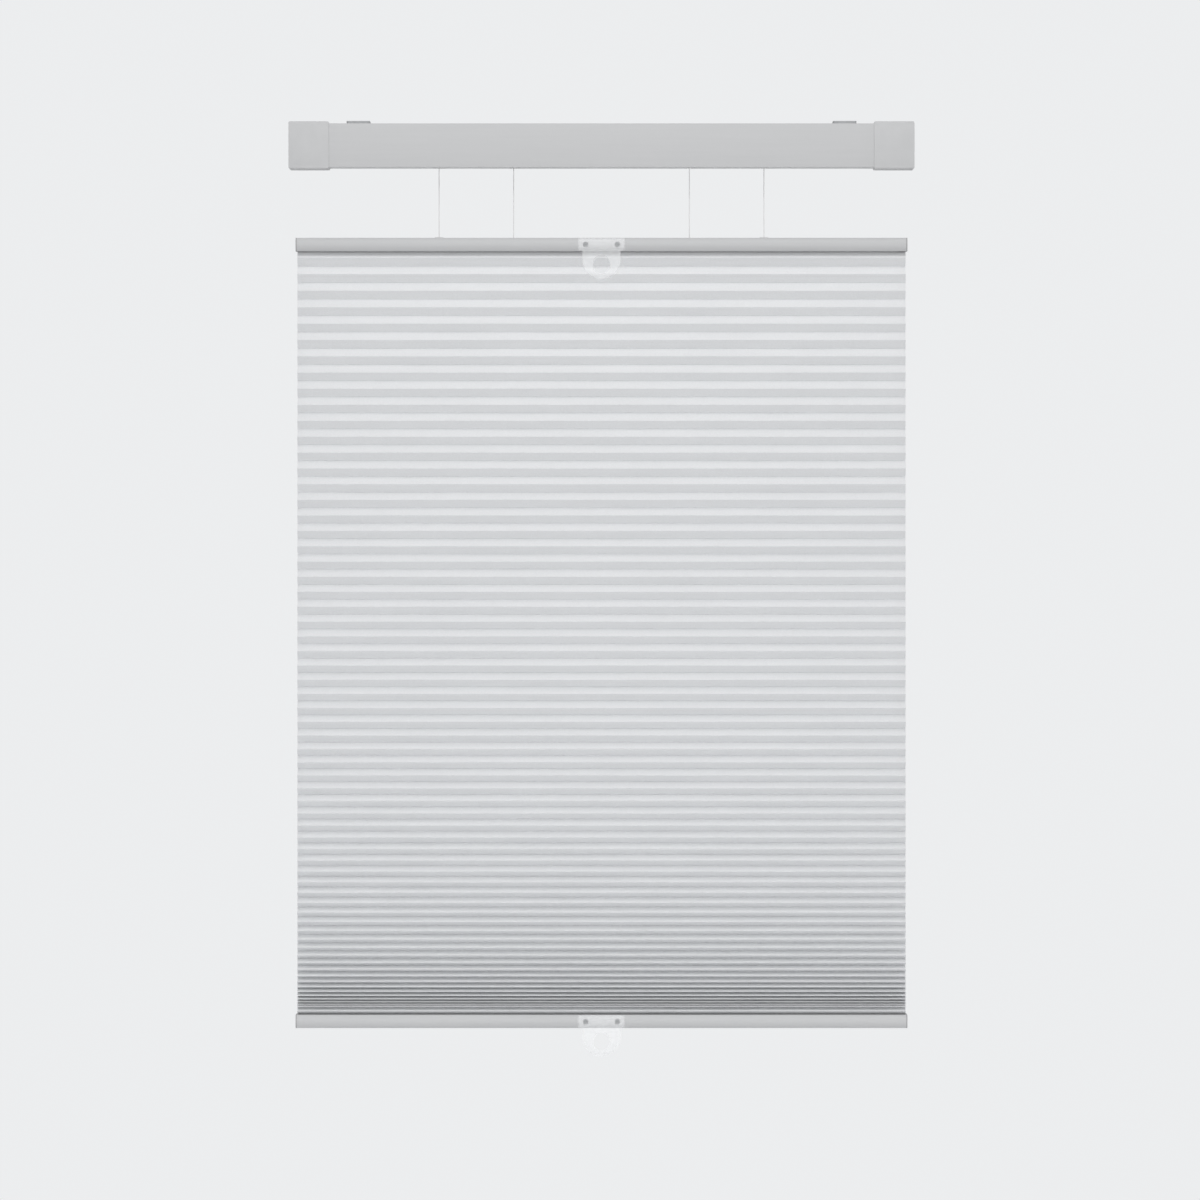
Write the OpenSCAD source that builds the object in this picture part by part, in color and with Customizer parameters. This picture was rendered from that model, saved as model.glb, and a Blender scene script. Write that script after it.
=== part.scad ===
// Cordless cellular pleated blind: a headrail, a middle rail, a honeycomb cloth and a bottom rail.
// Millimetres, +Z up, the front faces -Y. The origin is the centre of the plane the brackets screw to.

/* [Main sizes] */
// width over the headrail's end caps
blind_w = 746; // [700:1:800]
// height from the mounting plane to the underside of the bottom rail
blind_h = 1082; // [1020:1:1150]
// height from the mounting plane to the top of the middle rail
open_h = 139; // [125:1:160]
// distance from the middle of the blind to the cords of the middle rail
cord_in_x = 105; // [100:1:112]
// distance from the middle of the blind to the cords of the bottom rail
cord_out_x = 194; // [180:1:215]

/* [Headrail] */
// height of the headrail channel
head_h = 52; // [51:1:60]
// depth of the headrail channel, front to back
head_d = 55; // [54:1:62]
// wall of the headrail channel
head_wall = 1.4; // [1:0.1:1.6]
// how far the headrail's front bows out
head_bow = 2.5; // [1.5:0.1:3]
// radius of the channel's rear edges
head_r = 2.5; // [1.5:0.1:3]
// width of each inturned lip at the open top
lip_w = 9; // [8:0.5:10]

/* [End caps] */
// length of an end cap along the headrail
cap_len = 48; // [36:1:52]
// wall of an end cap below, in front and behind
cap_wall = 2; // [1.5:0.1:2.5]
// thickness of an end cap's end wall
cap_end = 2.5; // [2:0.1:3.5]
// radius of an end cap's outer edges
cap_r = 1.8; // [1.5:0.1:4]
// length of an end cap's lugs inside the headrail
lug_len = 14; // [8:1:20]
// thickness of an end cap's lugs
lug_t = 2; // [1.5:0.1:2.5]
// gap between the headrail's bowed front and an end cap
bow_gap = 0.3; // [0.2:0.05:0.4]
// gap between the mounting plane and the top of an end cap
cap_drop = 0.5; // [0.2:0.1:1]

/* [Brackets] */
// distance from the end of the headrail to the middle of a bracket
bracket_inset = 83; // [73:1:123]
// width of a bracket
bracket_w = 28; // [24:1:34]
// thickness of a bracket's plate
bracket_t = 3; // [2.5:0.1:4]
// depth of a bracket's plate, front to back
bracket_d = 51; // [48:1:53]
// thickness of a bracket's hook
hook_t = 2; // [1.5:0.1:2.5]
// corner radius of a bracket's plate
bracket_r = 4; // [2:0.5:6]
// width of a bracket's stiffening rib
rib_w = 2; // [1.5:0.1:3]
// height of a bracket's stiffening rib
rib_h = 1.5; // [1:0.1:1.8]
// distance from a bracket's side to its rib
rib_in = 2; // [1.5:0.1:3]
// gap between a hook and the edge of the lip
hook_gap = 0.2; // [0.1:0.05:0.4]
// reach of a hook under the lip
toe_len = 5; // [3:0.5:6]
// radius of a screw hole
screw_hole_r = 2.25; // [2:0.05:2.6]
// distance between a bracket's two screw holes
screw_gap_y = 16; // [14:1:18]
// radius of a screw hole's countersink
sink_r = 4.2; // [3.5:0.1:4.4]
// depth of a screw hole's countersink
sink_h = 1.6; // [1:0.1:2]
// thickness of the spring latch
latch_t = 1.2; // [0.8:0.1:1.6]
// width of the spring latch
latch_w = 14; // [10:1:20]
// length of the spring latch's leaf
latch_len = 5.5; // [4.5:0.1:5.8]

/* [Lift rods] */
// side of the square lift rod
rod_s = 5; // [4:0.1:5.5]
// length of a lift rod past its outer cradle
rod_over = 2; // [1:0.5:6]
// gap between a cradle and the headrail's wall
side_gap = 1.2; // [0.8:0.1:2]
// length of a cord spool between its flanges
spool_len = 14; // [10:1:18]
// height of a spool's flange over the spool
flange_rise = 2.5; // [2:0.1:2.8]
// thickness of a flange
flange_t = 1.5; // [1:0.1:2]
// radius of a journal
journal_r = 5; // [4.4:0.1:5.4]
// radial clearance of a fitted or running part
fit_gap = 0.05; // [0.03:0.01:0.08]
// end play of a turning part
end_play = 0.4; // [0.3:0.1:0.6]
// gap under a flange
flange_gap = 0.8; // [0.5:0.1:1]
// wall of a cradle
cradle_wall = 3; // [2.5:0.1:3.5]
// floor of a cradle
cradle_floor = 2; // [1.5:0.1:2.5]
// reach of a cradle past the flange
cradle_side = 1.3; // [1:0.1:1.5]
// height of a cradle's ears above the journal
ear_h = 2; // [1:0.5:4]
// width of a cradle's snap-in mouth against its journal
mouth_share = 0.86; // [0.8:0.01:0.95]
// radius of the cord's lead-in in a cradle
lead_in_r = 2.2; // [1.8:0.1:2.5]
// depth of the cord's lead-in in a cradle
lead_in_h = 0.8; // [0.5:0.1:1.2]
// rise of a spool's tapered end towards its flange
taper_rise = 1.4; // [0.8:0.1:1.8]

/* [Spring motors] */
// distance from the middle of the blind to a spring motor
motor_x = 44; // [38:1:48]
// length of a motor between its walls
motor_len = 52; // [44:1:60]
// radius of the drive drum
drum_r = 8; // [7.6:0.1:8.4]
// radius of the drive drum's flange
drum_flange_r = 11; // [10.6:0.1:11.2]
// height of the storage drum's flange over the drum
store_lip = 3.5; // [3.2:0.1:4]
// gap between the flanges of a motor's two drums
drum_gap = 0.5; // [0.4:0.1:0.8]
// gap between a motor and the headrail's lips
case_gap = 1.6; // [1:0.1:2]
// radius of the storage drum's axle against the drum
axle_share = 0.46; // [0.4:0.01:0.5]
// thickness of the spring's strip
spring_t = 0.4; // [0.3:0.05:0.5]
// thickness of the coil on the storage drum
coil_t = 2.4; // [2:0.1:2.6]
// thickness of the coil on the drive drum
lead_t = 0.8; // [0.6:0.1:1.2]
// gap between a coil or a wound cord and its drum
wind_gap = 0.3; // [0.25:0.05:0.4]
// space at each end of the spring
spring_side = 2; // [1:0.5:4]
// side of the motor case's tie bars
tie_s = 3; // [2:0.1:3.2]

/* [Cords] */
// diameter of a lift cord
cord_d = 1.2; // [0.9:0.1:1.3]
// radius of the holes the cords run through
cord_hole_r = 1.4; // [1.2:0.05:1.7]
// thickness of the cord wound on a spool
wound_t = 1.6; // [1.5:0.05:1.8]
// width of the cord wound on a spool
wound_w = 6; // [4:0.5:9]
// radius of the knot at the end of a cord
knot_r = 2.2; // [2:0.1:2.4]
// radius of a cord bushing
bush_r = 3.1; // [2.6:0.1:3.6]
// radius of a bushing's flange
bush_flange_r = 5; // [4.2:0.1:5.6]
// thickness of a bushing's flange
bush_flange_t = 1; // [0.8:0.1:1.3]
// thickness of the anchor disc in the bottom rail
disc_t = 2; // [1.5:0.1:2.5]

/* [Moving rails] */
// distance from the end of the headrail to the end of a moving rail
rail_inset = 8; // [5:0.5:12]
// height of a moving rail
rail_h = 16; // [15.5:0.1:17]
// depth of a moving rail's flat part, front to back
rail_core = 28; // [27:0.5:31]
// radius of the rounded front and back
rail_arc = 10; // [9.8:0.1:11]
// wall of a moving rail
rail_wall = 1.4; // [1.1:0.1:1.5]
// width of the slot that the cloth passes
slot_w = 12; // [10:0.5:13]
// thickness of a moving rail's end cap
rail_cap_t = 1.6; // [1.2:0.1:2.4]
// radius of the front and rear edges of a moving rail's end cap
rail_cap_r = 1; // [0.5:0.1:1.2]
// length of an end cap's plug
plug_len = 8; // [6:0.5:12]
// width of an end cap's plug
plug_w = 18; // [14:0.5:20]
// height of an end cap's plug
plug_h = 6; // [5:0.1:6.5]
// gap around an end cap's plug
plug_gap = 0.1; // [0.05:0.05:0.2]

/* [Cloth] */
// number of cells
cells = 64; // [60:1:68]
// length of one facet of a pleat, from glue line to fold
facet = 13.3; // [12.8:0.1:14]
// thickness of the cloth
cloth_t = 0.4; // [0.3:0.05:0.5]
// width of a glue line
glue_w = 6; // [5:0.1:7]
// gap between the cloth's edge and a rail's end cap
cloth_inset = 0.4; // [0.3:0.1:3]
// height of the first fold below the middle rail
first_drop = 7.5; // [6:0.1:9]
// height of the last fold above the bottom rail
last_rise = 4.5; // [4:0.1:7]
// height between the last two folds, which the bottom rail holds open
last_pitch = 6; // [4:0.1:8]
// how evenly the pitch falls towards the bottom
fall_share = 0.23; // [0.18:0.01:0.26]
// how much the lowest cells close up
crush_share = 0.67; // [0.6:0.01:0.7]
// how suddenly the lowest cells close up
crush_power = 3.3; // [2.5:0.1:4]
// width of the cloth's tongue inside a rail
tongue_w = 16; // [15:0.5:18]
// thickness of the cloth's tongue inside a rail
tongue_t = 0.8; // [0.6:0.1:1]
// thickness of the stiff strip that holds the tongue
strip_t = 1.5; // [1:0.1:1.8]

/* [Handles] */
// width of a handle's plate
handle_w = 55; // [48:1:60]
// height of a handle's plate
handle_h = 15; // [14.8:0.1:15.2]
// thickness of a handle's plate
handle_t = 2.4; // [2.2:0.1:2.6]
// corner radius of a handle's plate
handle_r = 2; // [1:0.1:3]
// gap between a handle's plate and the rail
seat_gap = 0.05; // [0.03:0.01:0.1]
// width of the raised pad
pad_w = 26; // [22:0.5:28]
// height of the raised pad
pad_h = 10.6; // [9:0.1:11.5]
// height the pad stands proud
pad_t = 0.7; // [0.5:0.1:1.2]
// width of the hanging tab
tab_w = 45.4; // [40:0.2:47]
// length of the tab below the rail
tab_len = 33.5; // [31:0.5:38]
// thickness of the tab
tab_t = 2; // [1.6:0.1:2.1]
// overlap of the tab and the plate
tab_root = 0.8; // [0.6:0.1:0.9]
// height of the tab's rounded end
tab_round = 24; // [20:0.5:26]
// width of the finger hole
hole_w = 20; // [17:0.5:23]
// height of the finger hole
hole_h = 22; // [19:0.5:24]
// drop of the finger hole's centre below the rail
hole_drop = 16; // [15:0.5:18]
// distance from the middle of a handle to a screw
hscrew_x = 18.9; // [18:0.1:20]
// radius of a handle screw
hscrew_r = 1.5; // [1.2:0.1:1.8]
// radius of a handle screw's head
hscrew_head_r = 2.9; // [2.6:0.1:3.1]
// thickness of a handle screw's head
hscrew_head_t = 1.1; // [0.9:0.1:1.2]
// length of a handle screw below its head
hscrew_len = 7; // [5:0.5:9]
// gap around a handle screw's head
pocket_gap = 0.3; // [0.2:0.05:0.4]
// depth of the pocket for a screw's head
pocket_deep = 1.2; // [1:0.1:1.4]
// width of a screw's slot
recess_w = 1; // [0.6:0.1:1.2]
// depth of a screw's slot
recess_deep = 0.6; // [0.4:0.1:0.7]

/* [Hidden] */
$fn = 64;
// overrun of every cut
over = 1;
// points on a rounded outline
steps = 48;
// sides of the punched holes in the cloth
punch_sides = 8;

bracket_x = blind_w / 2 - bracket_inset;
head_top = -bracket_t;
head_bot = head_top - head_h;
head_floor = head_bot + head_wall;
head_mid = (head_top + head_bot) / 2;
lip_bot = head_top - head_wall;
lip_y = head_d / 2 - lip_w;
hook_y = lip_y - hook_gap;
bow_r = (pow(head_h / 2, 2) + pow(head_bow, 2)) / (2 * head_bow);
bow_y = bow_r - head_bow - head_d / 2;
bow_front = head_d / 2 + head_bow + over;

cap_h = -cap_drop - head_bot + cap_wall;
cap_z = -cap_drop - cap_h / 2;
cap_d = head_d + 2 * cap_wall;
lug_y = head_d / 2 - head_wall - plug_gap;

spool_room = head_d / 2 - head_wall - side_gap - cradle_side;
spool_r = (spool_room - flange_rise - wind_gap - wound_t / 2) / 2;
flange_r = spool_r + flange_rise;
taper_r = spool_r + taper_rise;
rod_y = spool_r + wind_gap + wound_t / 2;
rod_z = head_floor + cradle_floor + max(flange_r, drum_flange_r) + flange_gap;
cradle_y = flange_r + cradle_side;
base_top = head_floor + cradle_floor;
spool_all = spool_len + 2 * flange_t;
cradle_in = spool_all / 2 + end_play;
cradle_out = cradle_in + cradle_wall;
journal_len = end_play + cradle_wall;
mouth_y = journal_r * mouth_share;
taper_len = (spool_len - wound_w) / 2 - wind_gap;
case_top = lip_bot - case_gap;
store_flange_r = (case_top - flange_gap - drum_gap - drum_flange_r - rod_z) / 2;
store_r = store_flange_r - store_lip;
axle_r = store_r * axle_share;
store_rise = drum_flange_r + drum_gap + store_flange_r;
store_z = rod_z + store_rise;
drum_all = motor_len - 2 * end_play;
drum_hub = drum_all - 2 * flange_t;
spring_w = drum_hub - 2 * spring_side;
lead_r = drum_r + wind_gap + lead_t;
coil_r = store_r + wind_gap + coil_t;
strip_sum = lead_r + coil_r - spring_t;
strip_a = asin(strip_sum / store_rise);
strip_len = store_rise * cos(strip_a);

mid_top = -open_h;
mid_bot = mid_top - rail_h;
mid_z = mid_top - rail_h / 2;
low_bot = -blind_h;
low_top = low_bot + rail_h;
low_z = low_bot + rail_h / 2;
rail_all = blind_w - 2 * rail_inset;
rail_len = rail_all - 2 * rail_cap_t;
arc_y = rail_core / 2 - sqrt(pow(rail_arc, 2) - pow(rail_h / 2, 2));
hollow_h = rail_h - 2 * rail_wall;
hollow_d = 2 * (arc_y + sqrt(pow(rail_arc - rail_wall, 2) - pow(hollow_h / 2, 2)));
knot_drop = sqrt(pow(knot_r, 2) - pow(cord_hole_r, 2)) + wind_gap;
mid_knot_z = mid_top - rail_wall - bush_flange_t - knot_drop;
mid_strip_z = mid_bot + rail_wall + tongue_t;
low_strip_z = low_top - rail_wall - tongue_t - strip_t;
disc_z = low_strip_z - disc_t;
low_knot_z = disc_z - knot_drop;

plate_r = rail_arc + seat_gap + handle_t;
plate_y = arc_y + plate_r;
tab_y = arc_y + sqrt(pow(plate_r, 2) - pow(handle_h / 2, 2));
pocket_y = plate_y - pocket_deep;

cloth_w = rail_len - 2 * cloth_inset;
first_z = mid_bot - first_drop;
last_z = low_top + last_rise;
function add(v, i = 0) = i < len(v) ? v[i] + add(v, i + 1) : 0;
shares = [for (i = [0 : cells - 3])
    1 - fall_share * i / (cells - 3) - crush_share * pow(i / (cells - 3), crush_power)];
share_sum = add(shares);
pitch = concat([for (s = shares) (first_z - last_z - last_pitch) * s / share_sum], [last_pitch]);
function fold_z(i) = i == 0 ? first_z : fold_z(i - 1) - pitch[i - 1];
folds = [for (i = [0 : cells - 1]) fold_z(i)];
glues = concat([mid_bot], [for (i = [1 : cells - 1]) (folds[i - 1] + folds[i]) / 2], [low_top]);
halves = [for (i = [0 : cells - 1]) (glues[i] - glues[i + 1]) / 2];
reaches = [for (h = halves) sqrt(pow(facet, 2) - pow(h, 2))];
glue_y = glue_w / 2;
tongue_y = tongue_w / 2;
top_tongue = [[tongue_y, mid_strip_z], [tongue_y, mid_bot + rail_wall], [glue_y, mid_bot + rail_wall]];
pleats = [for (i = [0 : cells - 1], k = [0, 1])
    k == 0 ? [glue_y, glues[i]] : [glue_y + reaches[i], folds[i]]];
low_tongue = [[glue_y, low_top], [glue_y, low_top - rail_wall], [tongue_y, low_top - rail_wall],
    [tongue_y, low_top - rail_wall - tongue_t]];
back_edge = concat(top_tongue, pleats, low_tongue);
front_edge = [for (i = [len(back_edge) - 1 : -1 : 0]) [-back_edge[i][0], back_edge[i][1]]];
function cell_y(i) = glue_y - cloth_t * (facet - reaches[i]) / halves[i];
function fold_y(i) = glue_y + reaches[i] - cloth_t * facet / halves[i];
function cell(i) = [
    [cell_y(i), glues[i] - cloth_t],
    [fold_y(i), folds[i]],
    [cell_y(i), glues[i + 1] + cloth_t],
    [-cell_y(i), glues[i + 1] + cloth_t],
    [-fold_y(i), folds[i]],
    [-cell_y(i), glues[i] - cloth_t]];

// a flat outline of Y and Z drawn out along X
module along_x(len) {
    rotate([90, 0, 90])
        linear_extrude(height = len, center = true)
            children();
}

// a flat outline of X and Z drawn out towards the front
module to_front(len) {
    rotate([90, 0, 0])
        linear_extrude(height = len)
            children();
}

module rounded(w, h, r) {
    square([w - 2 * r, h], center = true);
    square([w, h - 2 * r], center = true);
    for (sx = [-1, 1], sy = [-1, 1])
        translate([sx * (w / 2 - r), sy * (h / 2 - r)])
            circle(r);
}

module rod_x(r, len) {
    rotate([0, 90, 0])
        cylinder(r = r, h = len, center = true);
}

module post(r, z0, z1) {
    translate([0, 0, z0])
        cylinder(r = r, h = z1 - z0);
}

// a box from one corner to the other
module box(a, b) {
    translate(a)
        cube(b - a);
}

// the bowed front of the headrail, grown by g, with its rear edge at the depth y and the height h
module bowed(g, y, h) {
    intersection() {
        translate([-bow_front - g, -h / 2])
            square([bow_front + g + y, h]);
        translate([bow_y, 0])
            circle(bow_r + g);
    }
}

module left() {
    mirror([1, 0, 0])
        children();
}

module headrail() {
    color([0.78, 0.79, 0.8])
        difference() {
            translate([0, 0, head_mid])
                along_x(blind_w - 2 * cap_end)
                    difference() {
                        union() {
                            rounded(head_d, head_h, head_r);
                            bowed(0, 0, head_h);
                        }
                        bowed(-head_wall, head_d / 2 - head_wall, head_h - 2 * head_wall);
                        translate([0, head_h / 2])
                            square([2 * lip_y, 2 * (head_wall + over)], center = true);
                    }
            for (x = [-cord_out_x, -cord_in_x, cord_in_x, cord_out_x])
                translate([x, 0, 0])
                    post(bush_r + fit_gap, head_bot - over, head_floor + over);
        }
}

module end_cap() {
    color([0.77, 0.78, 0.79])
        difference() {
            translate([blind_w / 2 - cap_len / 2, 0, cap_z])
                intersection() {
                    along_x(cap_len) {
                        rounded(cap_d, cap_h, cap_r);
                        bowed(cap_wall, 0, cap_h);
                    }
                    translate([0, cap_d / 2, 0])
                        to_front(cap_d + head_bow + over)
                            rounded(cap_len, cap_h, cap_r);
                }
            translate([blind_w / 2 - cap_end - cap_len / 2, 0, head_mid])
                along_x(cap_len)
                    bowed(bow_gap, head_d / 2, head_h);
        }
    color([0.77, 0.78, 0.79])
        for (s = [0, 1])
            mirror([0, s, 0])
                box([blind_w / 2 - cap_end - lug_len, lug_y - lug_t, head_floor + plug_gap],
                    [blind_w / 2 - cap_end / 2, lug_y, lip_bot - plug_gap]);
}

module bracket() {
    color([0.7, 0.71, 0.72])
        translate([bracket_x, 0, 0])
            difference() {
                union() {
                    translate([0, 0, -bracket_t])
                        linear_extrude(height = bracket_t)
                            rounded(bracket_w, bracket_d, bracket_r);
                    for (s = [0, 1])
                        mirror([s, 0, 0])
                            translate([bracket_w / 2 - rib_in - rib_w, 0, 0])
                                box([0, -hook_y, -bracket_t - rib_h], [rib_w, hook_y, -bracket_t / 2]);
                    box([-bracket_w / 2, -hook_y, lip_bot - hook_t],
                        [bracket_w / 2, -hook_y + hook_t, -bracket_t / 2]);
                    box([-bracket_w / 2, -hook_y - toe_len, lip_bot - hook_t],
                        [bracket_w / 2, -hook_y + hook_t, lip_bot]);
                }
                for (s = [-1, 1])
                    translate([0, s * screw_gap_y / 2, 0]) {
                        post(screw_hole_r, -bracket_t - over, over);
                        translate([0, 0, -bracket_t])
                            cylinder(r1 = sink_r, r2 = screw_hole_r, h = sink_h);
                    }
            }
}

module latch() {
    color([0.62, 0.63, 0.65])
        translate([bracket_x, 0, 0]) {
            box([-latch_w / 2, hook_y - latch_len, -bracket_t - latch_t], [latch_w / 2, hook_y, -bracket_t]);
            box([-latch_w / 2, hook_y - latch_t, lip_bot - latch_t], [latch_w / 2, hook_y, -bracket_t]);
            box([-latch_w / 2, hook_y - latch_t, lip_bot - latch_t],
                [latch_w / 2, hook_y + toe_len, lip_bot]);
        }
}

// s is -1 for the front rod and 1 for the rear rod
module cradle(x, s) {
    color([0.86, 0.86, 0.85])
        translate([x, s * rod_y, 0])
            difference() {
                union() {
                    box([-cradle_out, -cradle_y, head_floor], [cradle_out, cradle_y, base_top]);
                    for (k = [-1, 1])
                        translate([k * (cradle_in + cradle_wall / 2), 0, 0])
                            box([-cradle_wall / 2, -cradle_y, head_floor],
                                [cradle_wall / 2, cradle_y, rod_z + journal_r + ear_h]);
                }
                translate([0, 0, rod_z])
                    rod_x(journal_r + fit_gap, 2 * (cradle_out + over));
                box([-cradle_out - over, -mouth_y, rod_z],
                    [cradle_out + over, mouth_y, rod_z + journal_r + ear_h + over]);
                translate([0, -s * rod_y, 0]) {
                    post(cord_hole_r, head_floor - over, base_top + over);
                    translate([0, 0, base_top - lead_in_h])
                        cylinder(r1 = cord_hole_r, r2 = lead_in_r, h = lead_in_h);
                }
            }
}

// s is 1 for a flange above the wall and -1 for a flange below it
module bushing(x, z0, wall, s) {
    color([0.85, 0.85, 0.86])
        translate([x, 0, 0])
            difference() {
                union() {
                    post(bush_r, z0, z0 + wall);
                    if (s > 0)
                        post(bush_flange_r, z0 + wall, z0 + wall + bush_flange_t);
                    else
                        post(bush_flange_r, z0 - bush_flange_t, z0);
                }
                post(cord_hole_r, z0 - bush_flange_t - over, z0 + wall + bush_flange_t + over);
            }
}

module bearings(len) {
    translate([0, 0, rod_z])
        rod_x(journal_r + fit_gap, len);
    translate([0, 0, store_z])
        rod_x(axle_r + fit_gap, len);
}

module motor_case(s) {
    color([0.5, 0.52, 0.55])
        translate([s * motor_x, s * rod_y, 0])
            difference() {
                union() {
                    box([-motor_len / 2 - cradle_wall, -cradle_y, head_floor],
                        [motor_len / 2, cradle_y, base_top]);
                    box([-motor_len / 2 - cradle_wall, -cradle_y, head_floor],
                        [-motor_len / 2, cradle_y, case_top]);
                    box([-motor_len / 2 - cradle_wall, -cradle_y, case_top - tie_s],
                        [motor_len / 2, -cradle_y + tie_s, case_top]);
                    box([-motor_len / 2 - cradle_wall, cradle_y - tie_s, case_top - tie_s],
                        [motor_len / 2, cradle_y, case_top]);
                }
                translate([-motor_len / 2, 0, 0])
                    bearings(2 * (cradle_wall + over));
            }
}

module motor_cover(s) {
    color([0.56, 0.58, 0.6])
        translate([s * motor_x, s * rod_y, 0])
            difference() {
                box([motor_len / 2, -cradle_y, head_floor],
                    [motor_len / 2 + cradle_wall, cradle_y, case_top]);
                translate([motor_len / 2 + cradle_wall / 2, 0, 0])
                    bearings(cradle_wall + 2 * over);
            }
}

module spring(s) {
    color([0.66, 0.67, 0.7])
        translate([s * motor_x, s * rod_y, rod_z])
            along_x(spring_w) {
                difference() {
                    circle(lead_r);
                    circle(drum_r + wind_gap);
                }
                translate([0, store_rise])
                    difference() {
                        circle(coil_r);
                        circle(store_r + wind_gap);
                    }
                rotate(strip_a)
                    translate([lead_r - spring_t, 0])
                        square([spring_t, strip_len]);
            }
}

module lift_cord(x, s, knot_z) {
    color([0.9, 0.9, 0.88]) {
        translate([x, s * rod_y, rod_z])
            difference() {
                rod_x(spool_r + wind_gap + wound_t, wound_w);
                rod_x(spool_r + wind_gap, wound_w + 2 * over);
            }
        translate([x, 0, 0])
            post(cord_d / 2, knot_z, rod_z);
        translate([x, 0, knot_z])
            sphere(knot_r);
    }
}

module lift_rod(s, x) {
    color([0.72, 0.73, 0.75])
        translate([0, s * rod_y, rod_z])
            cube([2 * (x + cradle_out + rod_over), rod_s, rod_s], center = true);
}

// a drum on the lift rod, with a flange and a journal at each end
module drum(r, fr, all) {
    difference() {
        union() {
            rod_x(r, all);
            for (k = [-1, 1])
                translate([k * (all - flange_t) / 2, 0, 0])
                    rod_x(fr, flange_t);
            rod_x(journal_r, all + 2 * journal_len);
            children();
        }
        cube([all + 2 * (journal_len + over), rod_s + 2 * fit_gap, rod_s + 2 * fit_gap], center = true);
    }
}

module spool(x, s) {
    color([0.88, 0.88, 0.87])
        translate([x, s * rod_y, rod_z])
            drum(spool_r, flange_r, spool_all)
                translate([spool_len / 2 - taper_len, 0, 0])
                    rotate([0, 90, 0])
                        cylinder(r1 = spool_r, r2 = taper_r, h = taper_len);
}

module drive_drum(s) {
    color([0.82, 0.82, 0.8])
        translate([s * motor_x, s * rod_y, rod_z])
            drum(drum_r, drum_flange_r, drum_all);
}

module storage_drum(s) {
    color([0.84, 0.84, 0.82])
        translate([s * motor_x, s * rod_y, store_z]) {
            rod_x(store_r, drum_all);
            for (k = [-1, 1])
                translate([k * (drum_all - flange_t) / 2, 0, 0])
                    rod_x(store_flange_r, flange_t);
            rod_x(axle_r, drum_all + 2 * journal_len);
        }
}

module rail_outline(h, d, r) {
    intersection() {
        square([2 * (arc_y + r), h], center = true);
        union() {
            square([d, h], center = true);
            for (s = [-1, 1])
                translate([s * arc_y, 0])
                    circle(r);
        }
    }
}

// up is 1 when the slot for the cloth is below, and -1 when it is above
module moving_rail(z, up) {
    color([0.76, 0.77, 0.78])
        translate([0, 0, z])
            difference() {
                along_x(rail_len)
                    difference() {
                        rail_outline(rail_h, rail_core, rail_arc);
                        rail_outline(hollow_h, hollow_d, rail_arc - rail_wall);
                        translate([0, -up * rail_h / 2])
                            square([slot_w, 2 * (rail_wall + over)], center = true);
                    }
                for (sx = [-1, 1])
                    translate([sx * hscrew_x, -hollow_d / 2 + over, 0])
                        to_shaft(hscrew_r + fit_gap, 2 * rail_arc);
                if (up > 0)
                    for (x = [-cord_out_x, -cord_in_x, cord_in_x, cord_out_x])
                        translate([x, 0, 0])
                            post(bush_r + fit_gap, hollow_h / 2 - over, rail_h / 2 + over);
            }
}

module to_shaft(r, len) {
    rotate([90, 0, 0])
        cylinder(r = r, h = len);
}

module rail_cap(z, up) {
    color([0.73, 0.74, 0.75])
        translate([0, 0, z]) {
            intersection() {
                translate([rail_all / 2 - rail_cap_t / 2, 0, 0])
                    along_x(rail_cap_t)
                        rail_outline(rail_h, rail_core, rail_arc);
                translate([rail_all / 2 - plug_len, 0, -rail_h / 2 - over])
                    linear_extrude(height = rail_h + 2 * over)
                        rounded(2 * plug_len, 2 * (arc_y + rail_arc + fit_gap), rail_cap_r);
            }
            translate([rail_len / 2 - plug_len, -plug_w / 2, up * (hollow_h / 2 - plug_gap - plug_h / 2)])
                translate([0, 0, -plug_h / 2])
                    cube([plug_len + rail_cap_t / 2, plug_w, plug_h]);
        }
}

function tab_half(a) = [tab_w / 2 * cos(a), -rail_h / 2 - tab_len + tab_round - tab_round * sin(a)];
tab_top = -handle_h / 2 + tab_root;
tab_shape = concat([[tab_w / 2, tab_top]], [for (i = [0 : steps]) tab_half(180 * i / steps)],
    [[-tab_w / 2, tab_top]]);
hole_shape = [for (i = [0 : steps - 1])
    [hole_w / 2 * cos(360 * i / steps), -rail_h / 2 - hole_drop + hole_h / 2 * sin(360 * i / steps)]];

// a curved sheet on the rounded front of a rail
module front_sheet(w, h, r, t) {
    intersection() {
        along_x(w + 2 * over)
            translate([-arc_y, 0])
                difference() {
                    circle(rail_arc + seat_gap + t);
                    circle(rail_arc + seat_gap);
                }
        translate([0, -arc_y, 0])
            to_front(rail_arc + seat_gap + t + over)
                rounded(w, h, r);
    }
}

module handle(z) {
    color([0.86, 0.88, 0.9, 0.6])
        translate([0, 0, z])
            difference() {
                union() {
                    front_sheet(handle_w, handle_h, handle_r, handle_t);
                    front_sheet(pad_w, pad_h, handle_r / 2, handle_t + pad_t);
                    translate([0, -tab_y + tab_t, 0])
                        to_front(tab_t)
                            difference() {
                                polygon(tab_shape);
                                polygon(hole_shape);
                            }
                }
                for (sx = [-1, 1])
                    translate([sx * hscrew_x, 0, 0]) {
                        translate([0, -arc_y, 0])
                            to_shaft(hscrew_r + fit_gap, plate_r + over);
                        translate([0, -pocket_y, 0])
                            to_shaft(hscrew_head_r + pocket_gap, pocket_deep + over);
                    }
            }
}

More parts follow.
